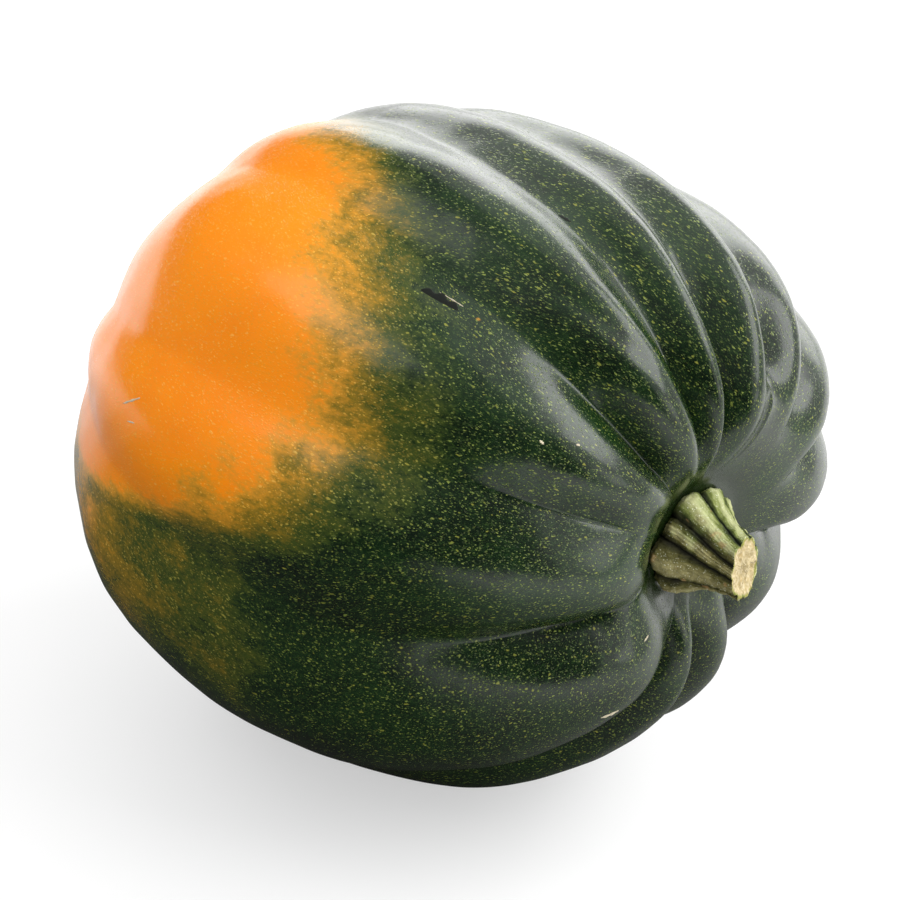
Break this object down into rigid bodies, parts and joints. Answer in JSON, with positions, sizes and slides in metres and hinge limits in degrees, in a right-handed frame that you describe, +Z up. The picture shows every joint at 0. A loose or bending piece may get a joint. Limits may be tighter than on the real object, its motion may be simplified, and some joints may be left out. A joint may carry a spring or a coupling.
{
  "type": "acorn squash",
  "caption": "Whole acorn squash lying on its side: deeply ribbed dark green fruit with an orange ground patch, and a short ridged cut stalk in the hollow at its stem end.",
  "frame": {"origin": "on the ground, under the middle of the bounding box of the whole squash as it lies", "axes": "+Z up, +X along the fruit from its blossom end to its stem end, +Y across it"},
  "size_m": [0.1452, 0.1248, 0.1234],
  "materials": {
    "squash_skin": null,
    "stalk": null
  },
  "bodies": {
    "root": {"squash_body": "squash_skin", "stem": "stalk"}
  },
  "joints": []
}
